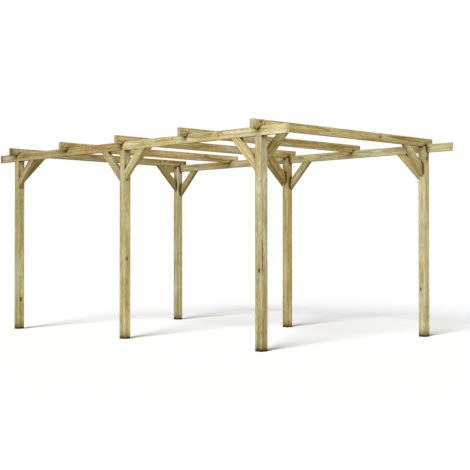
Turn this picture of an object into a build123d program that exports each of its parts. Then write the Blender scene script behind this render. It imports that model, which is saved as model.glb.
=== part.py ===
"""Open timber carport: two rows of posts, a plate on each row, rafters across and mitred corner braces.

Millimetres. X runs along the carport with +X towards the front, Y across it with +Y towards the right
row, and Z up. The origin is on the ground, in the middle of the plan.
"""
from build123d import *
import os

# Plan and height
bay_length = 2220  # between the centres of neighbouring posts of a row
row_width = 2816  # over the outer faces of the two rows
clear_height = 2175  # from the ground to the underside of the plates

# Posts, square
post_width = 90

# Plates, the two beams that the rows of posts carry
plate_thickness = 45
plate_depth = 95
plate_overhang = 340  # beyond the faces of the end posts

# Rafters, notched over the plates
rafter_thickness = 45
rafter_depth = 95
rafter_overhang = 97  # beyond the outer faces of the plates
notch_depth = 24
notch_clearance = 0.3  # on each side of the plate

# Braces, mitred at both ends
brace_thickness = 45
brace_depth = 90
brace_reach = 355  # from the post's face to the tip of the brace, and as much in height

# Planed timber has its long edges eased
arris_radius = 3

# Places that follow from the sizes above
outer_face = row_width / 2
plate_inner_face = outer_face - plate_thickness
post_inner_face = outer_face - post_width
plate_top = clear_height + plate_depth
rafter_underside = plate_top - notch_depth
rafter_top = rafter_underside + rafter_depth
rafter_end = outer_face + rafter_overhang
plate_end = bay_length + post_width / 2 + plate_overhang

rows = {"left": -1, "right": 1}  # the side of each row along Y
post_places = {"front": bay_length, "middle": 0, "rear": -bay_length}
rafter_places = {
    "front": bay_length,
    "front_bay": bay_length / 2,
    "middle": 0,
    "rear_bay": -bay_length / 2,
    "rear": -bay_length,
}
facing = {"front": 1, "rear": -1}  # the way along X that each end lies


def save(piece, name):
    """Label a finished piece and write it to its own file."""
    piece.part.label = name
    export_step(piece.part, f"parts/{name}.step")


def make_post(name, x, side):
    """A post whose head is rebated: the plate sits on the outer half, and the inner half, a tongue,
    stands on behind the plate to the underside of the rafter."""
    with BuildPart() as post:
        with BuildSketch(Plane.YZ.offset(x)):
            with BuildLine():
                Polyline(
                    (side * outer_face, 0),
                    (side * outer_face, clear_height),
                    (side * plate_inner_face, clear_height),
                    (side * plate_inner_face, rafter_underside),
                    (side * post_inner_face, rafter_underside),
                    (side * post_inner_face, 0),
                    close=True,
                )
            make_face()
        extrude(amount=post_width / 2, both=True)
        long_edges = post.edges().filter_by(Axis.Z).filter_by_position(Axis.Z, 0, clear_height)
        fillet(long_edges, arris_radius)
    save(post, name)


def make_plate(name, side, end):
    """One board of a plate, from the middle of its row to the end that overhangs."""
    with BuildPart() as plate:
        with BuildSketch(Plane.YZ):
            with Locations((side * (outer_face - plate_thickness / 2), clear_height + plate_depth / 2)):
                RectangleRounded(plate_thickness, plate_depth, arris_radius)
        extrude(amount=end * plate_end)
    save(plate, name)


def make_rafter(name, x):
    """A rafter with square ends, notched from below where it crosses the two plates."""
    with BuildPart() as rafter:
        with BuildSketch(Plane.YZ.offset(x)):
            with Locations((0, rafter_underside + rafter_depth / 2)):
                Rectangle(2 * rafter_end, rafter_depth)
            notch_places = [
                (side * (outer_face - plate_thickness / 2), rafter_underside + notch_depth / 2)
                for side in rows.values()
            ]
            with Locations(notch_places):
                Rectangle(plate_thickness + 2 * notch_clearance, notch_depth, mode=Mode.SUBTRACT)
        extrude(amount=rafter_thickness / 2, both=True)
        long_edges = rafter.edges().filter_by(Axis.Y)
        seat_edges = long_edges.filter_by_position(Axis.Z, plate_top, plate_top)
        fillet(long_edges - seat_edges, arris_radius)
    save(rafter, name)


def make_brace(name, plane, outward, underside):
    """A brace at 45 degrees, drawn on a plane whose x axis leaves the post's face at x = 0 and whose
    y axis is the height. Its foot is cut upright against the post, its head level under the beam."""
    cut_length = brace_depth * 2**0.5
    with BuildPart() as brace:
        with BuildSketch(plane):
            with BuildLine():
                Polyline(
                    (0, underside - brace_reach),
                    (outward * brace_reach, underside),
                    (outward * (brace_reach - cut_length), underside),
                    (0, underside - brace_reach + cut_length),
                    close=True,
                )
            make_face()
        extrude(amount=brace_thickness / 2, both=True)
        slope = Axis((0, 0, 0), plane.from_local_coords((outward, 1, 0)) - plane.origin)
        fillet(brace.edges().filter_by(slope), arris_radius)
    save(brace, name)


def make_plate_brace(name, x, side, end):
    """A brace from a post to the plate over it, flush with the plate's outer face."""
    post_face = x + end * post_width / 2
    brace_middle = side * (outer_face - brace_thickness / 2)
    make_brace(name, Plane((post_face, brace_middle, 0), x_dir=(1, 0, 0), z_dir=(0, -1, 0)), end, clear_height)


def make_rafter_brace(name, x, side):
    """A brace from a post to the rafter over it, on the post's centre line and facing inwards."""
    post_face = side * post_inner_face
    make_brace(name, Plane((x, post_face, 0), x_dir=(0, 1, 0), z_dir=(1, 0, 0)), -side, rafter_underside)


os.makedirs("parts", exist_ok=True)

for row, side in rows.items():
    for place, x in post_places.items():
        make_post(f"{row}_{place}_post", x, side)
        make_rafter_brace(f"{row}_{place}_rafter_brace", x, side)
    for place, end in facing.items():
        make_plate(f"{row}_{place}_plate", side, end)
        make_plate_brace(f"{row}_{place}_plate_brace", post_places[place], side, -end)
        make_plate_brace(f"{row}_middle_{place}_plate_brace", post_places["middle"], side, end)

for place, x in rafter_places.items():
    make_rafter(f"{place}_rafter", x)
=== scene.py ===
import bpy
import numpy as np
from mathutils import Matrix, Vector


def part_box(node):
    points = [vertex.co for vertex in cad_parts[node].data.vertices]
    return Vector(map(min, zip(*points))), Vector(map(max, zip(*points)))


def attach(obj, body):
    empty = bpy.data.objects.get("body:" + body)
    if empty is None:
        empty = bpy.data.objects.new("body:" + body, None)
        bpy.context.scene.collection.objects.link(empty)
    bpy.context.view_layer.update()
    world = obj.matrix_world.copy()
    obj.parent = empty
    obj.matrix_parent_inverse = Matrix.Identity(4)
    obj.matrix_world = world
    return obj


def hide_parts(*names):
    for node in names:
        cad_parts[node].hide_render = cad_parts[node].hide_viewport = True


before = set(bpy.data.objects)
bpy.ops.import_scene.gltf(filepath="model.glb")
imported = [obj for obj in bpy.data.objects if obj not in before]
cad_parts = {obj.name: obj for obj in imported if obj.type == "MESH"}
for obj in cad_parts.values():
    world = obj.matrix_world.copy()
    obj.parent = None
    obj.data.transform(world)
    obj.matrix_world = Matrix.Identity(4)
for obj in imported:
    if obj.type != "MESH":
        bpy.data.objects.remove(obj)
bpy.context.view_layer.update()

# Posts
# Six square posts of pressure-treated pine, each sawn round the heart of a small log and planed on four
# sides, with the long edges eased. The outer half of the head is sawn away to seat the plate, and the tongue
# that is left is screwed to it.

mm = 0.001


def linear(colour):
    """An sRGB hex colour as linear red, green and blue: a straight line near black, a power law above it."""
    channel = np.array([int(colour[i:i + 2], 16) for i in (1, 3, 5)]) / 255
    return np.where(channel <= 0.04045, channel / 12.92, ((channel + 0.055) / 1.055) ** 2.4)


def add(tree, kind, inputs, **settings):
    """Add a shader node, set its properties, and give each input a value or another node's output."""
    made = tree.nodes.new("ShaderNode" + kind)
    for name, value in settings.items():
        setattr(made, name, value)
    for name, value in inputs.items():
        if isinstance(value, bpy.types.NodeSocket):
            tree.links.new(value, made.inputs[name])
        else:
            made.inputs[name].default_value = value
    return made


def treated_pine(name, sawn):
    """Pressure-treated Scots pine. The salts tint it pale green over straw. Planing leaves a matt face where
    each year's dark latewood shows as long bands; a saw cut is paler and rougher, and crosses the rings.
    Real rings are 2 to 3 mm wide, and real flecks and fibres under 1 mm: too fine to show in the render, so
    they are drawn coarser."""
    ring_width = 5.5 * mm
    ring_share = 0.42 if sawn else 0.65
    waver_depth = 14 * mm
    swell_depth = 18 * mm
    swell_reach = 14 * mm
    band_length = 1500 * mm
    band_width = 11 * mm
    halo_share = 0.5
    # Painted shade: how far ambient occlusion looks for deep pockets and for tight corners between parts
    pocket_shade_reach = 180 * mm
    corner_shade_reach = 45 * mm
    stain_reach = 90 * mm
    # The colour goes darker towards the bottom, up to a ragged line a little above the floor
    foot_dark_top = 24 * mm
    foot_dark_full = -6 * mm
    foot_dark_rag = 30 * mm
    knot_rag = 4 * mm
    bark_start = -4 * mm
    bark_full = 2 * mm
    sawn_share = 0.55
    latewood_relief_share = 0.5
    relief_depth = 0.5 * mm
    relief_strength = 0.9 if sawn else 0.5
    smooth_roughness = 0.62
    torn_roughness = 0.82
    specular_level = 0.12
    wood_ior = 1.5

    latewood_tint = "#D2B78D"
    band_tint = "#D3BF93"
    heart_tint = "#F2E2C2"
    salts_tint = "#E2E8D2"
    fibre_tint = "#C8B994"
    fleck_tint = "#BFAF88"
    # Tints of the painted shade in deep pockets and in tight corners between parts
    pocket_shade_tint = "#8A5A20"
    corner_shade_tint = "#6A4820"
    halo_tint = "#B08A52"
    stain_tint = "#8E9678"
    foot_dark_tint = "#4A4438"
    knot_colour = "#5E4A2A"
    bark_colour = "#2F2718"
    sawn_colour = "#E6E7DB"
    bleached_colour = "#F0E4B8"

    material = bpy.data.materials.new(name)
    material.use_nodes = True
    tree = material.node_tree
    tree.nodes.clear()
    board = add(tree, "Attribute", {}, attribute_name="board").outputs["Vector"]
    knot = add(tree, "Attribute", {}, attribute_name="knot").outputs["Fac"]
    from_end = add(tree, "Attribute", {}, attribute_name="from_end").outputs["Fac"]
    bleached = add(tree, "Attribute", {}, attribute_name="bleached").outputs["Fac"]
    toned = add(tree, "Attribute", {}, attribute_name="tone").outputs
    along = add(tree, "SeparateXYZ", {0: board}).outputs["X"]
    height = add(tree, "SeparateXYZ", {0: add(tree, "TexCoord", {}).outputs["Object"]}).outputs["Z"]
    # Ambient occlusion at two reaches, which drives the painted shade in pockets and in corners
    pocket_shade_ao = add(tree, "AmbientOcclusion", {"Distance": pocket_shade_reach}, samples=8).outputs["AO"]
    corner_shade_ao = add(tree, "AmbientOcclusion", {"Distance": corner_shade_reach}, samples=8).outputs["AO"]

    # Noises stretched along the board, by the length and width of their patches: the waver of the rings, the
    # cloudy uptake of the salts, the fibres, and the short flecks that they leave where they run out
    noise = {}
    for pattern, patch_length, patch_width, detail, roughness in (
        ("waver", 700 * mm, 60 * mm, 2.0, 0.5),
        ("cloud", 420 * mm, 110 * mm, 4.0, 0.5),
        ("fibre", 60 * mm, 2.5 * mm, 4.0, 0.5),
        ("fleck", 55 * mm, 6 * mm, 6.0, 0.6),
    ):
        scale = (1 / patch_length, 1 / patch_width, 1 / patch_width)
        patches = add(tree, "VectorMath", {0: board, 1: scale}, operation="MULTIPLY").outputs[0]
        noise[pattern] = add(tree, "TexNoise", {"Vector": patches, "Scale": 1.0, "Detail": detail,
                                                "Roughness": roughness}).outputs
    fibre = noise["fibre"]["Fac"]
    clouds = add(tree, "SeparateColor", {0: noise["cloud"]["Color"]}).outputs

    # Growth rings: the distance from the pith, wavering along the trunk and swelling round each knot. Bands
    # of denser years follow them
    section = add(tree, "VectorMath", {0: board, 1: (0, 1, 1)}, operation="MULTIPLY").outputs[0]
    radius = add(tree, "VectorMath", {0: section}, operation="LENGTH").outputs["Value"]
    outside = add(tree, "Math", {0: knot, 1: 0.0}, operation="MAXIMUM").outputs[0]
    fade = add(tree, "Math", {0: outside, 1: -1 / swell_reach}, operation="MULTIPLY").outputs[0]
    near_knot = add(tree, "Math", {0: fade}, operation="EXPONENT").outputs[0]
    wavered = add(tree, "Math", {0: noise["waver"]["Fac"], 1: waver_depth, 2: radius},
                  operation="MULTIPLY_ADD").outputs[0]
    grown = add(tree, "Math", {0: near_knot, 1: swell_depth, 2: wavered}, operation="MULTIPLY_ADD").outputs[0]
    years = add(tree, "Math", {0: grown, 1: 1 / ring_width}, operation="MULTIPLY").outputs[0]
    season = add(tree, "Math", {0: years}, operation="FRACT").outputs[0]
    length = add(tree, "Math", {0: along, 1: 1 / band_length}, operation="MULTIPLY").outputs[0]
    depth = add(tree, "Math", {0: grown, 1: 1 / band_width}, operation="MULTIPLY").outputs[0]
    band_place = add(tree, "CombineXYZ", {0: length, 1: depth, 2: 0.0}).outputs[0]
    band = add(tree, "TexNoise", {"Vector": band_place, "Scale": 1.0, "Detail": 4.0}).outputs["Fac"]
    ragged = add(tree, "Math", {0: fibre, 1: knot_rag, 2: knot}, operation="MULTIPLY_ADD").outputs[0]
    ragged_height = add(tree, "Math", {0: fibre, 1: -foot_dark_rag, 2: height}, operation="MULTIPLY_ADD").outputs[0]

    # How strongly each effect shows: not at all where its pattern has the first value, most at the second
    share = {"bleached": bleached}
    for effect, pattern, first, second, most, curve in (
        ("summer", season, 0.40, 0.90, 1.0, "SMOOTHSTEP"),
        ("winter", season, 1.00, 0.90, 1.0, "SMOOTHSTEP"),
        ("warmed", clouds["Red"], 0.30, 0.72, 1.0, "SMOOTHSTEP"),
        ("salted", clouds["Green"], 0.30, 0.72, 1.0, "SMOOTHSTEP"),
        ("banded", band, 0.42, 0.66, 0.65, "SMOOTHSTEP"),
        ("fibred", fibre, 0.45, 0.75, 0.70, "LINEAR"),
        ("flecked", noise["fleck"]["Fac"], 0.44, 0.66, 0.80, "LINEAR"),
        ("soaked", from_end, stain_reach, 0.0, 1.0, "SMOOTHSTEP"),
        # Painted shade, where the occlusion finds pockets and corners between parts
        ("pocket_shaded", pocket_shade_ao, 0.88, 0.40, 0.90, "LINEAR"),
        ("corner_shaded", corner_shade_ao, 0.92, 0.50, 0.95, "LINEAR"),
        ("foot_darkened", ragged_height, foot_dark_top, foot_dark_full, 0.66, "LINEAR"),
        ("knotted", ragged, knot_rag, 0.0, 1.0, "SMOOTHSTEP"),
        ("barked", ragged, bark_start, bark_full, 1.0, "SMOOTHSTEP"),
    ):
        share[effect] = add(tree, "MapRange", {"Value": pattern, "From Min": first, "From Max": second,
                                               "To Max": most}, interpolation_type=curve).outputs[0]
    latewood = add(tree, "Math", {0: share["summer"], 1: share["winter"]}, operation="MULTIPLY").outputs[0]
    share["ringed"] = add(tree, "Math", {0: latewood, 1: ring_share}, operation="MULTIPLY").outputs[0]
    share["haloed"] = add(tree, "Math", {0: near_knot, 1: halo_share}, operation="MULTIPLY").outputs[0]
    share["stained"] = add(tree, "Math", {0: share["soaked"], 1: toned["Alpha"]},
                           operation="MULTIPLY").outputs[0]

    # Colour, from the board's own tone down to the painted shade in its pockets and in the corners between
    # parts, its foot darkened towards the bottom, and its knots. Sockets 0, 6 and 7 of a Mix node are its
    # share and its two colours
    colour = toned["Color"]
    if sawn:
        colour = add(tree, "Mix", {0: sawn_share, 6: colour, 7: (*linear(sawn_colour), 1)},
                     data_type="RGBA").outputs[2]
    else:
        figure = add(tree, "Attribute", {}, attribute_name="figure").outputs["Fac"]
        for effect in ("ringed", "banded"):
            share[effect] = add(tree, "Math", {0: share[effect], 1: figure}, operation="MULTIPLY").outputs[0]
    for effect, tint, blend in (
        ("warmed", heart_tint, "MULTIPLY"),
        ("salted", salts_tint, "MULTIPLY"),
        ("banded", band_tint, "MULTIPLY"),
        ("ringed", latewood_tint, "MULTIPLY"),
        ("fibred", fibre_tint, "MULTIPLY"),
        ("flecked", fleck_tint, "MULTIPLY"),
        ("haloed", halo_tint, "MULTIPLY"),
        ("stained", stain_tint, "MULTIPLY"),
        ("bleached", bleached_colour, "MIX"),
        # Painted shade in pockets and in corners between parts
        ("pocket_shaded", pocket_shade_tint, "MULTIPLY"),
        ("corner_shaded", corner_shade_tint, "MULTIPLY"),
        # Darker towards the bottom of the foot
        ("foot_darkened", foot_dark_tint, "MULTIPLY"),
    ):
        colour = add(tree, "Mix", {0: share[effect], 6: colour, 7: (*linear(tint), 1)}, data_type="RGBA",
                     blend_type=blend).outputs[2]
    knot_shade = add(tree, "Mix", {0: share["barked"], 6: (*linear(knot_colour), 1),
                                   7: (*linear(bark_colour), 1)}, data_type="RGBA").outputs[2]
    colour = add(tree, "Mix", {0: share["knotted"], 6: colour, 7: knot_shade}, data_type="RGBA").outputs[2]

    relief = add(tree, "Math", {0: latewood, 1: latewood_relief_share, 2: fibre},
                 operation="MULTIPLY_ADD").outputs[0]
    bump = add(tree, "Bump", {"Height": relief, "Strength": relief_strength,
                              "Distance": relief_depth}).outputs[0]
    rough = add(tree, "MapRange", {"Value": fibre, "To Min": smooth_roughness,
                                   "To Max": torn_roughness}).outputs[0]
    shader = add(tree, "BsdfPrincipled", {"Base Color": colour, "Roughness": rough, "Normal": bump,
                                          "Specular IOR Level": specular_level, "IOR": wood_ior})
    add(tree, "OutputMaterial", {"Surface": shader.outputs[0]})
    return material


planed_pine = treated_pine("planed_treated_pine", sawn=False)
sawn_pine = treated_pine("sawn_treated_pine", sawn=True)

close_share = 0.2
tightest = 0.5 * mm


def planes(low, high, step, marks):
    """Lattice planes from low to high: even steps and every mark between them, rounded to a tenth of a
    millimetre. An even plane that falls close to a mark gives way to it."""
    even = np.linspace(low, high, int(np.ceil((high - low) / step)) + 1)
    marks = np.unique(np.round(np.concatenate(marks), 4))
    marks = marks[(marks > low + tightest) & (marks < high - tightest)]
    gap = np.abs(even[1:-1, None] - marks).min(axis=1, initial=step)
    return np.sort(np.concatenate([even[[0, -1]], even[1:-1][gap > close_share * step], marks]))


def skin(solid):
    """The faces of lattice cells that have timber on one side only, as corner numbers turned to face the
    air, and whether each is a saw cut: any face across the board or inside its outline."""
    corners = np.arange(np.prod(np.add(solid.shape, 1))).reshape(np.add(solid.shape, 1))
    quads = []
    sawn = []
    for axis in range(3):
        ends = [(1, 1) if a == axis else (0, 0) for a in range(3)]
        change = np.moveaxis(np.diff(np.pad(solid.astype(np.int8), ends), axis=axis), axis, 0)
        c = np.moveaxis(corners, axis, 0)
        loops = np.stack([c[:, :-1, :-1], c[:, 1:, :-1], c[:, 1:, 1:], c[:, :-1, 1:]], axis=-1)
        if axis == 1:
            loops = loops[..., ::-1]
        layer = np.broadcast_to(np.arange(len(change))[:, None, None], change.shape)
        cut = (layer > 0) & (layer < len(change) - 1) | (axis == 0)
        quads += [loops[change < 0], loops[change > 0][:, ::-1]]
        sawn += [cut[change < 0], cut[change > 0]]
    return np.concatenate(quads), np.concatenate(sawn)


knot_reach = 60 * mm
knot_stretch = 1.9
branch_rise_share = 0.35
branch_overrun_share = 1.2


def knot_distance(place, heart, knots):
    """Distance from each point to the nearest knot, negative inside it. A knot is a branch: a cone that
    starts at the pith and widens to its radius where it meets the board's face."""
    nearest = np.full(len(place), knot_reach)
    for tip, radius in knots:
        root = np.array([tip[0], *heart(tip[0])])
        root[0] -= branch_rise_share * np.linalg.norm(tip - root)
        stem = tip - root
        share = np.clip((place - root) @ stem / (stem @ stem), 0, branch_overrun_share)
        away = (place - root - share[:, None] * stem) / (knot_stretch, 1, 1)
        nearest = np.minimum(nearest, np.linalg.norm(away, axis=1) - radius * share)
    return nearest


arris_radius = 3 * mm
hair = mm / 1000


def ease(place, half):
    """Round the four long edges: within a radius of two faces at once, the square corner's points are drawn
    in along their rays to a quarter circle."""
    inset = arris_radius - (half - np.abs(place[:, 1:]))
    corner = (inset > 0).all(axis=1)
    drawn = inset * (inset.max(axis=1) / np.maximum(np.hypot(*inset.T), hair))[:, None]
    eased = np.sign(place[:, 1:]) * (half - arris_radius + drawn)
    return np.column_stack([place[:, 0], np.where(corner[:, None], eased, place[:, 1:])])


def face_axes(point, half):
    """The board's axis that leaves the face on which a point lies, and the one across that face."""
    side = 1 + int(np.argmin(half - np.abs(point[1:])))
    return side, 3 - side


on_face_gap = 0.1 * mm


def open_check(place, half, check):
    """Push a face in along a drying check. Across the groove the depth falls evenly from the middle to both
    sides; along it the depth is the root of a sine, deepest half way and nothing at the ends."""
    start, end, width, depth = check
    side, across = face_axes(start, half)
    on_face = np.isclose(place[:, side], start[side], atol=on_face_gap)
    along = np.clip((place[:, 0] - start[0]) / (end[0] - start[0]), 0, 1)
    aside = np.abs(place[:, across] - start[across]) / (width / 2)
    groove = np.sqrt(np.sin(np.pi * along)) * np.clip(1 - aside, 0, 1)
    moved = place.copy()
    moved[:, side] -= np.where(on_face, np.sign(start[side]) * depth * groove, 0)
    return moved


dish_radius = 6.2 * mm
dish_floor_radius = 4.0 * mm
dish_depth = 3.2 * mm


def sink(place, half, spot):
    """Dish a face for a screw's head: the wood goes in as a cone round the screw, down to a flat floor."""
    side, across = face_axes(spot, half)
    on_face = np.isclose(place[:, side], spot[side], atol=on_face_gap)
    away = np.hypot(place[:, 0] - spot[0], place[:, across] - spot[across])
    dish = np.clip((dish_radius - away) / (dish_radius - dish_floor_radius), 0, 1)
    moved = place.copy()
    moved[:, side] -= np.where(on_face, np.sign(spot[side]) * dish_depth * dish, 0)
    return moved


def straight(node):
    """A board that lies along one axis of the frame: its own axes, the middle of its first end, its size."""
    low, high = np.array(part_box(node))
    length = int(np.argmax(high - low))
    axes = np.roll(np.eye(3), -length, axis=0)
    origin = (low + high) / 2
    origin[length] = low[length]
    return axes, origin, axes @ (high - low)


def spot_on(node, way, along, across):
    """A point on the face of a straight board that looks one way: the board's middle, carried out to that
    face, set at a place along the frame's axis that the board follows, and moved across the face."""
    low, high = np.array(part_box(node))
    length = int(np.argmax(high - low))
    width = 3 - length - int(np.argmax(np.abs(way)))
    spot = (low + high) / 2 + np.array(way) * (high - low) / 2
    spot[length] = along
    spot[width] += across
    return spot


sharp_angle = np.radians(32)


def set_up(mesh):
    """Shade a finished mesh smoothly between its sharp edges, and set it in the scene on the one body."""
    mesh.polygons.foreach_set("use_smooth", np.ones(len(mesh.polygons), bool))
    mesh.update()
    mesh.set_sharp_from_angle(angle=sharp_angle)
    piece = bpy.data.objects.new(mesh.name, mesh)
    bpy.context.scene.collection.objects.link(piece)
    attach(piece, "root")
    return piece


step_along = 60 * mm
step_across = 12 * mm
arris_shares = np.array([0.27, 0.63, 1.0])
knot_spread_shares = np.array([-2.6, -1.5, -0.9, -0.4, 0.0, 0.4, 0.9, 1.5, 2.6])
check_spread_shares = np.array([-1.5, -0.5, 0.0, 0.5, 1.5])
check_step = 25 * mm
dish_shares = np.array([-1.3, -1.0, -0.8, -0.6, -0.3, 0.0, 0.3, 0.6, 0.8, 1.0, 1.3])
heart_lean = 4 * mm
heart_sway = 5 * mm
heart_sway_length = 2200 * mm
pattern_length = 50.0
bleach_start = 380 * mm
bleach_full = 120 * mm


def timber(name, slot, tone, axes, origin, size, heart_place, cuts=(), mitre=0.0, knots=(), checks=(),
           screws=(), stain=0.3, figure=1.0, bleach=0.0, last_tone=None):
    """One board. A lattice of cells fills it from end to end, finer round its knots, checks and cuts; the
    cells that a cut takes are dropped, and the board is the skin of the rest. A mitre slants both ends by
    sliding each point along the board in step with its place across it. Knots and checks are given by the
    face that they are on, screws as points and cuts as boxes in the part's frame. Stain is how strongly the
    ends are discoloured, figure how strongly the grain shows, and bleach how far the weather has turned the
    last end pale. The tone may drift along the board to another at its last end."""
    own = np.random.default_rng(sum(name.encode()))
    half = np.array(size[1:]) / 2
    tilt = own.uniform(-1, 1, 2) * heart_lean
    phase = own.uniform(0, 2 * np.pi)

    def to_board(point):
        """A point of the part's frame, measured from the board's origin along the board's own axes."""
        return (np.array(point) - origin) @ axes.T

    def heart(u):
        """The pith's place across the board: it leans evenly from end to end, with a slow sine sway."""
        sway = heart_sway * np.sin(u / heart_sway_length * 2 * np.pi + phase)
        lean = tilt * np.asarray(u)[..., None] / size[0]
        return heart_place[0] + lean[..., 0] + sway, heart_place[1] + lean[..., 1] - sway / 2

    knots = [(to_board(spot_on(name, way, along, across)), radius) for way, along, across, radius in knots]
    checks = [
        (to_board(spot_on(name, way, start, across)), to_board(spot_on(name, way, end, across)), width, depth)
        for way, start, end, across, width, depth in checks
    ]
    dishes = [to_board(spot) for spot in screws]
    boxes = [np.sort([to_board(low), to_board(high)], axis=0) for low, high in cuts]
    marks = [[box[:, axis] for box in boxes] for axis in range(3)]
    marks[0].append(np.zeros(0))
    for axis in (1, 2):
        edge = half[axis - 1] - arris_radius * arris_shares
        marks[axis] += [edge, -edge]
    for tip, radius in knots:
        across = face_axes(tip, half)[1]
        marks[0].append(tip[0] + knot_spread_shares * radius)
        marks[across].append(tip[across] + knot_spread_shares * radius)
    for start, end, width, depth in checks:
        across = face_axes(start, half)[1]
        marks[0].append(np.arange(start[0], end[0], check_step))
        marks[across].append(start[across] + check_spread_shares * width)
    for spot in dishes:
        across = face_axes(spot, half)[1]
        slide = mitre * spot[1]
        marks[0].append((spot[0] + dish_shares * dish_radius - slide) / (1 - 2 * slide / size[0]))
        marks[across].append(spot[across] + dish_shares * dish_radius)

    grid = [planes(0, size[0], step_along, marks[0])]
    grid += [planes(-h, h, step_across, m) for h, m in zip(half, marks[1:])]
    middle = [(g[1:] + g[:-1]) / 2 for g in grid]
    solid = np.ones([len(m) for m in middle], bool)
    for box in boxes:
        inside = [(m > low) & (m < high) for m, low, high in zip(middle, *box)]
        solid &= ~(inside[0][:, None, None] & inside[1][None, :, None] & inside[2][None, None, :])
    quads, sawn = skin(solid)
    used, quads = np.unique(quads.ravel(), return_inverse=True)
    spots = np.unravel_index(used, [len(g) for g in grid])
    place = np.column_stack([g[s] for g, s in zip(grid, spots)])
    to_last_end = size[0] - place[:, 0]
    from_end = np.minimum(place[:, 0], to_last_end)
    bleached = bleach * np.interp(to_last_end, [bleach_full, bleach_start], [1, 0])
    drift = place[:, :1] / size[0]
    shade = (1 - drift) * linear(tone) + drift * linear(last_tone or tone)
    place[:, 0] += mitre * place[:, 1] * (1 - 2 * place[:, 0] / size[0])

    cut_place = own.uniform(0, pattern_length)
    from_heart = place - np.column_stack([np.full(len(place), -cut_place), *heart(place[:, 0])])
    knot = knot_distance(place, heart, knots)
    place = ease(place, half)
    for check in checks:
        place = open_check(place, half, check)
    for spot in dishes:
        place = sink(place, half, spot)

    mesh = bpy.data.meshes.new(name + "_timber")
    mesh.from_pydata((place @ axes + origin).tolist(), [], quads.reshape(-1, 4).tolist())
    mesh.polygons.foreach_set("material_index", sawn.astype(np.int32))
    mesh.materials.append(planed_pine)
    mesh.materials.append(sawn_pine)
    for attribute, kind, field, values in (
        ("board", "FLOAT_VECTOR", "vector", from_heart),
        ("knot", "FLOAT", "value", knot),
        ("from_end", "FLOAT", "value", from_end),
        ("bleached", "FLOAT", "value", bleached),
        ("figure", "FLOAT", "value", np.full(len(place), figure)),
        ("tone", "FLOAT_COLOR", "color", np.column_stack([shade, np.full(len(place), stain)])),
    ):
        mesh.attributes.new(attribute, kind, "POINT").data.foreach_set(field, values.ravel())
    piece = set_up(mesh)
    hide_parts(name)


# The salts take differently to each board: the greener shades are sapwood, the yellower ones hold more heart
pale_mint = "#F7FCE4"
mint = "#EDF3DA"
sage = "#E1E7D4"
reed = "#DBE0C4"
cream = "#F2EDCA"
pale_straw = "#E3E0BE"
straw = "#E4DDB2"
hay = "#D2CBAA"
dull_hay = "#C9C7A0"
honey = "#D0C28C"
olive = "#BEB77B"
moss = "#BABB9C"
bronze = "#ADA378"
post_tones = {
    "left_front_post": sage, "left_middle_post": pale_mint, "left_rear_post": reed,
    "right_front_post": pale_mint, "right_middle_post": straw, "right_rear_post": sage,
}
post_head_tones = {"left_middle_post": reed, "right_rear_post": pale_mint}
post_heart = (6 * mm, -8 * mm)

# Ways that a face can look, and the marks on the posts. A knot is its face, its height, its place across the
# face and its radius; a check is its face, its lower and upper end, its place across, its width and depth
forward = (1, 0, 0)
backward = (-1, 0, 0)
leftward = (0, -1, 0)
rightward = (0, 1, 0)
inward = {"left": rightward, "right": leftward}
post_knots = {
    "left_front_post": [(leftward, 812 * mm, 14 * mm, 12 * mm), (backward, 1560 * mm, 13 * mm, 9 * mm)],
    "left_middle_post": [(forward, 920 * mm, -7 * mm, 10 * mm), (rightward, 1480 * mm, -20 * mm, 8 * mm)],
    "left_rear_post": [(forward, 379 * mm, -8 * mm, 14 * mm), (rightward, 1250 * mm, -20 * mm, 8 * mm)],
    "right_front_post": [(leftward, 560 * mm, -12 * mm, 9 * mm), (forward, 2098 * mm, 3 * mm, 12 * mm)],
    "right_middle_post": [(rightward, 1050 * mm, -10 * mm, 10 * mm), (backward, 420 * mm, -3 * mm, 8 * mm)],
    "right_rear_post": [(rightward, 640 * mm, -10 * mm, 10 * mm), (backward, 1500 * mm, -13 * mm, 8 * mm)],
}
post_checks = {
    "left_front_post": [(forward, 770 * mm, 1090 * mm, -26 * mm, 7 * mm, 20 * mm)],
    "left_middle_post": [(rightward, 150 * mm, 900 * mm, 12 * mm, 2.5 * mm, 9 * mm)],
    "left_rear_post": [(backward, 250 * mm, 1300 * mm, 13 * mm, 2.5 * mm, 9 * mm)],
    "right_front_post": [(rightward, 900 * mm, 1700 * mm, 8 * mm, 2.5 * mm, 9 * mm)],
    "right_middle_post": [(backward, 300 * mm, 1400 * mm, 2 * mm, 2.5 * mm, 9 * mm)],
    "right_rear_post": [(rightward, 500 * mm, 1600 * mm, 5 * mm, 2.5 * mm, 9 * mm)],
}
tongue_screw_height = 36 * mm
tongue_screw_offset = 24 * mm
tongue_screws = []
endless = 10.0
for node, tone in post_tones.items():
    row = node.split("_")[0]
    plate_low, plate_high = np.array(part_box(row + "_front_plate"))
    rebate = ([-endless, plate_low[1], plate_low[2]], [endless, plate_high[1], endless])
    spots = [spot_on(node, inward[row], plate_low[2] + tongue_screw_height, offset)
             for offset in (-tongue_screw_offset, tongue_screw_offset)]
    timber(node, "planed_posts", tone, *straight(node), post_heart, cuts=[rebate], knots=post_knots[node],
           checks=post_checks[node], screws=spots, last_tone=post_head_tones.get(node))
    tongue_screws += [(spot, inward[row]) for spot in spots]

# Plates
# Two boards a row, set on edge in the posts' rebates and butted over the middle post. They are planed pine
# from near the outside of the log, so their wide faces show long pointed arches of grain.

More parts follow.
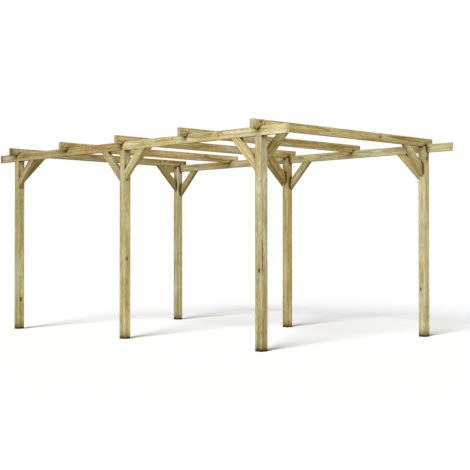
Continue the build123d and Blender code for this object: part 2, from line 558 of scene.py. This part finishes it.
plate_heart = (52 * mm, 12 * mm)
plate_figure = 1.3
plate_tones = {
    "left_front_plate": mint, "left_rear_plate": hay, "right_front_plate": reed, "right_rear_plate": reed,
}
plate_stains = {"left_rear_plate": 0.8}
plate_bleaches = {"left_front_plate": 0.4, "right_front_plate": 0.28}
plate_knots = {
    "left_front_plate": [
        (leftward, 1628 * mm, 4.5 * mm, 5 * mm), (rightward, 420 * mm, -17.5 * mm, 9 * mm),
    ],
    "left_rear_plate": [
        (rightward, -800 * mm, 17.5 * mm, 9 * mm), (rightward, -1900 * mm, -12.5 * mm, 8 * mm),
    ],
    "right_front_plate": [
        (rightward, 900 * mm, 7.5 * mm, 9 * mm), (rightward, 1900 * mm, -17.5 * mm, 8 * mm),
    ],
    "right_rear_plate": [
        (rightward, -700 * mm, -7.5 * mm, 9 * mm), (rightward, -1700 * mm, 17.5 * mm, 8 * mm),
    ],
}
for node, tone in plate_tones.items():
    timber(node, "planed_beams", tone, *straight(node), plate_heart, knots=plate_knots[node],
           stain=plate_stains.get(node, 0.0), figure=plate_figure, bleach=plate_bleaches.get(node, 0.0))

# Plate braces
# Short boards of planed pine at 45 degrees that stop each row from racking. Both ends are mitred and screwed,
# the foot upright against the post and the head level under the plate, with the outer faces flush.

brace_depth = 90 * mm
brace_figure = 1.25
up = np.array([0.0, 0.0, 1.0])


def slanted(node, outward):
    """A brace's own axes, the middle of its foot and its size. Outward is the level way that it leaves its
    post: the brace climbs as far as it reaches, so its axis is half way between outward and up."""
    low, high = np.array(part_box(node))
    outward = np.array(outward, float)
    axes = np.array([outward + up, up - outward, np.zeros(3)]) / np.sqrt(2)
    axes[2] = np.cross(axes[0], axes[1])
    reach = high[2] - low[2]
    cut_length = brace_depth * np.sqrt(2)
    origin = (low + high) / 2 - outward * reach / 2
    origin[2] = low[2] + cut_length / 2
    thickness = np.abs(axes[2]) @ (high - low)
    return axes, origin, np.array([(reach - cut_length / 2) * np.sqrt(2), brace_depth, thickness])


brace_screws = []


def brace(node, tone, outward, heart_place):
    """A mitred brace with a screw through its lower edge at each end, square to the edge."""
    axes, origin, size = slanted(node, outward)
    spots = [origin + along * axes[0] - size[1] / 2 * axes[1] for along in (0, size[0])]
    timber(node, "planed_braces", tone, axes, origin, size, heart_place, mitre=1.0, screws=spots,
           figure=brace_figure)
    brace_screws.extend((spot, -axes[1]) for spot in spots)


plate_brace_heart = (-10 * mm, 40 * mm)
plate_brace_ways = {
    "front": backward, "middle_front": forward, "middle_rear": backward, "rear": forward,
}
plate_brace_tones = {
    "left_front": cream, "left_middle_front": pale_mint, "left_middle_rear": hay, "left_rear": hay,
    "right_front": straw, "right_middle_front": reed, "right_middle_rear": moss, "right_rear": hay,
}
for place, tone in plate_brace_tones.items():
    end = place.split("_", 1)[1]
    brace(place + "_plate_brace", tone, plate_brace_ways[end], plate_brace_heart)

# Rafters
# Five planed pine boards on edge across the two plates, each notched from below so that it locks over them,
# and screwed down there. Their square-sawn ends overhang the plates.

rafter_heart = (14 * mm, -55 * mm)
rafter_figure = 1.5
rafter_stain = 0.28
notch_clearance = 0.3 * mm
rafter_tones = {
    "front_rafter": straw, "front_bay_rafter": pale_straw, "middle_rafter": pale_straw,
    "rear_bay_rafter": straw, "rear_rafter": dull_hay,
}
rafter_stains = {"rear_rafter": 0.9, "front_rafter": 0.05}
rafter_knots = {
    "front_rafter": [(forward, -1388 * mm, 24.5 * mm, 7 * mm), (forward, 517 * mm, 4.5 * mm, 5 * mm)],
    "front_bay_rafter": [(forward, 657 * mm, 26.5 * mm, 5 * mm), (backward, -500 * mm, -3.5 * mm, 8 * mm)],
    "middle_rafter": [(backward, -300 * mm, 6.5 * mm, 9 * mm), (backward, 800 * mm, -13.5 * mm, 8 * mm)],
    "rear_bay_rafter": [(forward, 893 * mm, 20.5 * mm, 5 * mm), (backward, -400 * mm, -3.5 * mm, 8 * mm)],
    "rear_rafter": [(forward, 1094 * mm, 24.5 * mm, 9 * mm), (backward, -200 * mm, -3.5 * mm, 9 * mm)],
}
plate_boxes = [np.array(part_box(row + "_front_plate")) for row in inward]
notches = [([-endless, low[1] - notch_clearance, -endless], [endless, high[1] + notch_clearance, high[2]])
           for low, high in plate_boxes]
rafter_screws = []
for node, tone in rafter_tones.items():
    spots = [spot_on(node, up, (low[1] + high[1]) / 2, 0.0) for low, high in plate_boxes]
    timber(node, "planed_beams", tone, *straight(node), rafter_heart, cuts=notches, knots=rafter_knots[node],
           screws=spots, stain=rafter_stains.get(node, rafter_stain), figure=rafter_figure)
    rafter_screws += [(spot, up) for spot in spots]

# Rafter braces
# The same mitred and screwed boards of planed pine, turned inwards: each runs from the inner face of a post
# up to the rafter that crosses over it, on the post's centre line.

rafter_brace_heart = (12 * mm, -45 * mm)
rafter_brace_tones = {
    "left_front": dull_hay, "left_middle": honey, "left_rear": bronze,
    "right_front": mint, "right_middle": honey, "right_rear": olive,
}
for place, tone in rafter_brace_tones.items():
    row = place.split("_")[0]
    brace(place + "_rafter_brace", tone, inward[row], rafter_brace_heart)

# Screws
# Zinc-plated steel wood screws with countersunk heads and a six-lobed drive, sunk just under the wood: two
# through each post's tongue into the plate, one down each rafter into each plate, one at each brace's end.

screw_lobes = 6
screw_around = 36
drive_swing_share = 0.17
drive_floor = -2.6 * mm
screw_tip = -18 * mm

# Stations from the drive's floor, out over the head and down the shank: radius, height out of the wood, and
# how much of the drive's wave shows there
screw_radii = np.array([1.9, 2.3, 2.5, 3.2, 4.9, 5.2, 5.2, 2.2, 1.8]) * mm
screw_heights = np.array([-2.5, -0.6, -0.45, -0.35, -0.4, -0.6, -0.9, -3.9, -16.0]) * mm
screw_swings = np.array([1.0, 1.0, 0.7, 0.0, 0.0, 0.0, 0.0, 0.0, 0.0])


def zinc_plate():
    """Zinc plate on steel, passivated clear: a cool pale grey metal, dulled in small clouds, with a fine grit
    in the plating. The clouds are about 2 mm wide and the grit is far finer, and both are drawn coarser, so
    that they show."""
    bright_colour = "#C3C6C6"
    dull_colour = "#8F9393"
    bright_roughness = 0.30
    dull_roughness = 0.58
    cloud_size = 4 * mm
    grit_size = 0.5 * mm
    grit_depth = 0.1 * mm
    grit_strength = 0.2

    material = bpy.data.materials.new("zinc_plated_steel")
    material.use_nodes = True
    tree = material.node_tree
    tree.nodes.clear()
    place = add(tree, "TexCoord", {}).outputs["Object"]
    cloud = add(tree, "TexNoise", {"Vector": place, "Scale": 1 / cloud_size, "Detail": 3.0}).outputs["Fac"]
    grit = add(tree, "TexNoise", {"Vector": place, "Scale": 1 / grit_size}).outputs["Fac"]
    colour = add(tree, "Mix", {0: cloud, 6: (*linear(bright_colour), 1), 7: (*linear(dull_colour), 1)},
                 data_type="RGBA").outputs[2]
    rough = add(tree, "MapRange", {"Value": cloud, "To Min": bright_roughness,
                                   "To Max": dull_roughness}).outputs[0]
    bump = add(tree, "Bump", {"Height": grit, "Strength": grit_strength, "Distance": grit_depth}).outputs[0]
    shader = add(tree, "BsdfPrincipled", {"Base Color": colour, "Metallic": 1.0, "Roughness": rough,
                                          "Normal": bump})
    add(tree, "OutputMaterial", {"Surface": shader.outputs[0]})
    return material


def screw_set(name, places, material):
    """Screws joined in one mesh. Each is a surface of revolution over the stations, and in the drive the
    radius swings with six waves a turn. A point is the screw's place, plus its radius round the axis, plus
    its height along the way out of the wood."""
    own = np.random.default_rng(len(places))
    spots = np.array([spot for spot, way in places])
    ways = np.array([way for spot, way in places], float)
    first = np.cross(ways, (1.0, 0.0, 0.0))
    first /= np.linalg.norm(first, axis=1)[:, None]
    second = np.cross(ways, first)
    around = np.linspace(0, 2 * np.pi, screw_around, endpoint=False)
    angle = around + own.uniform(0, 2 * np.pi, (len(places), 1))
    wave = np.cos(screw_lobes * (angle - angle[:, :1]))[:, None]
    radius = screw_radii[:, None] * (1 + drive_swing_share * screw_swings[:, None] * wave)
    turned = np.cos(angle)[..., None] * first[:, None] + np.sin(angle)[..., None] * second[:, None]
    rings = (spots[:, None, None] + radius[..., None] * turned[:, None]
             + screw_heights[:, None, None] * ways[:, None, None])
    poles = spots[:, None] + np.array([drive_floor, screw_tip])[:, None] * ways[:, None]
    ring_points = screw_heights.size * screw_around
    points = np.concatenate([rings.reshape(len(places), ring_points, 3), poles], axis=1)

    here = np.arange(ring_points).reshape(-1, screw_around)
    there = np.roll(here, -1, axis=1)
    quads = np.stack([here[:-1], here[1:], there[1:], there[:-1]], axis=-1).reshape(-1, 4)
    floor_fan = np.column_stack([np.full(screw_around, ring_points), here[0], there[0]])
    tip_fan = np.column_stack([here[-1], np.full(screw_around, ring_points + 1), there[-1]])
    shift = np.arange(len(places))[:, None, None] * points.shape[1]
    faces = [(shift + part).reshape(-1, part.shape[1]).tolist() for part in (quads, floor_fan, tip_fan)]
    mesh = bpy.data.meshes.new(name)
    mesh.from_pydata(points.reshape(-1, 3).tolist(), [], sum(faces, []))
    mesh.materials.append(material)
    set_up(mesh)


zinc_plated_steel = zinc_plate()
screw_set("tongue_screws", tongue_screws, zinc_plated_steel)
screw_set("rafter_screws", rafter_screws, zinc_plated_steel)
screw_set("brace_screws", brace_screws, zinc_plated_steel)

# Floor, light and camera
# A plain pale floor under one big round softbox high on the left, with a warm fill from the front and a weak
# one from behind. A lamp of its own lights the floor and draws the soft shadow. The camera stands where the
# photograph was taken.

floor_size = 300.0
floor_colour = "#FFFFFF"
floor_bounce_colour = "#A89C84"
floor_lift = 0.08


def seen_share(tree):
    """1 for a ray from the camera or from a mirror or glass, 0 for the light that the surface sends on."""
    path = add(tree, "LightPath", {}).outputs
    bright = add(tree, "Math", {0: path["Is Camera Ray"], 1: path["Is Glossy Ray"]}, operation="MAXIMUM")
    return add(tree, "Math", {0: bright.outputs[0], 1: path["Is Transmission Ray"]},
               operation="MAXIMUM").outputs[0]


pale_floor = bpy.data.materials.new("pale_floor")
pale_floor.use_nodes = True
tree = pale_floor.node_tree
tree.nodes.clear()
shown = add(tree, "BsdfDiffuse", {"Color": (*linear(floor_colour), 1)}).outputs[0]
lift = add(tree, "Emission", {"Color": (1, 1, 1, 1), "Strength": floor_lift}).outputs[0]
lifted = add(tree, "AddShader", {0: shown, 1: lift}).outputs[0]
bounce = add(tree, "BsdfDiffuse", {"Color": (*linear(floor_bounce_colour), 1)}).outputs[0]
mixed = add(tree, "MixShader", {0: seen_share(tree), 1: bounce, 2: lifted}).outputs[0]
add(tree, "OutputMaterial", {"Surface": mixed})

reach = floor_size / 2
floor_corners = [(-reach, -reach, 0), (reach, -reach, 0), (reach, reach, 0), (-reach, reach, 0)]
floor_mesh = bpy.data.meshes.new("floor")
floor_mesh.from_pydata(floor_corners, [], [(0, 1, 2, 3)])
floor_mesh.materials.append(pale_floor)
floor = bpy.data.objects.new("floor", floor_mesh)
bpy.context.scene.collection.objects.link(floor)

sky_low_strength = 0.20
sky_high_strength = 0.05
world = bpy.data.worlds.new("studio")
world.use_nodes = True
bpy.context.scene.world = world
tree = world.node_tree
tree.nodes.clear()
height = add(tree, "SeparateXYZ", {0: add(tree, "TexCoord", {}).outputs["Generated"]}).outputs["Z"]
lit = add(tree, "MapRange", {"Value": height, "To Min": sky_low_strength,
                             "To Max": sky_high_strength}).outputs[0]

# Sockets 0, 2 and 3 of a Mix node are its share and its two numbers
strength = add(tree, "Mix", {0: seen_share(tree), 2: lit, 3: 1.0}).outputs[0]
sky = add(tree, "Background", {"Color": (1, 1, 1, 1), "Strength": strength}).outputs[0]
add(tree, "OutputWorld", {"Surface": sky})

floor_alone = bpy.data.collections.new("floor_alone")
floor_alone.objects.link(floor)
all_but_floor = bpy.data.collections.new("all_but_floor")
all_but_floor.objects.link(floor)
all_but_floor.collection_objects[0].light_linking.link_state = "EXCLUDE"


def lamp(name, tint, way, height, strength, spread, lights):
    """A distant lamp that shines from a level way, raised by an angle, over a round patch of sky, on the
    things that it lights and no others."""
    light = bpy.data.lights.new(name, "SUN")
    light.color = linear(tint)
    light.energy = strength
    light.angle = np.radians(spread)
    made = bpy.data.objects.new(name, light)
    made.rotation_euler = (np.radians(90 - height), 0, np.arctan2(way[0], -way[1]))
    made.light_linking.receiver_collection = lights
    bpy.context.scene.collection.objects.link(made)


def softbox(name, tint, place, aim, diameter, strength, lights):
    """A round lamp at a place, turned to an aim. Its power grows with the square of the distance, so that at
    the aim it gives about as much light as a distant lamp of that strength; nearer things get more."""
    light = bpy.data.lights.new(name, "AREA")
    light.color = linear(tint)
    light.shape = "DISK"
    light.size = diameter
    way = np.subtract(place, aim)
    light.energy = strength * np.pi * (way @ way)
    made = bpy.data.objects.new(name, light)
    made.location = place
    made.rotation_euler = (np.arccos(way[2] / np.linalg.norm(way)), 0, np.arctan2(way[0], -way[1]))
    made.light_linking.receiver_collection = lights
    bpy.context.scene.collection.objects.link(made)


white = "#FFFFFF"
cool_white = "#F9F9FF"
warm_white = "#FFFEF4"
softbox("key", cool_white, place=(5.5, -14.5, 11.3), aim=(0.0, 0.0, 1.2), diameter=19.0, strength=4.05,
        lights=all_but_floor)
lamp("side_fill", warm_white, way=(1.0, -0.15), height=-4, strength=2.65, spread=60, lights=all_but_floor)
lamp("back_fill", white, way=(-0.75, 0.66), height=12, strength=3.4, spread=90, lights=all_but_floor)
lamp("floor_key", white, way=(0.40, -0.92), height=28, strength=5.45, spread=24, lights=floor_alone)

eye = (9.982, -9.177, 1.020)
turn = np.radians(46.19)
pitch = np.radians(0.80)
focal_pixels = 1091.1
photo_pixels = 470
camera_data = bpy.data.cameras.new("camera")
camera_data.sensor_width = 36
camera_data.lens = camera_data.sensor_width * focal_pixels / photo_pixels
camera_data.clip_end = floor_size * 2
camera = bpy.data.objects.new("camera", camera_data)
camera.location = eye
camera.rotation_euler = (np.pi / 2 + pitch, 0, turn)
bpy.context.scene.collection.objects.link(camera)
bpy.context.scene.camera = camera
bpy.context.scene.view_settings.view_transform = "Standard"
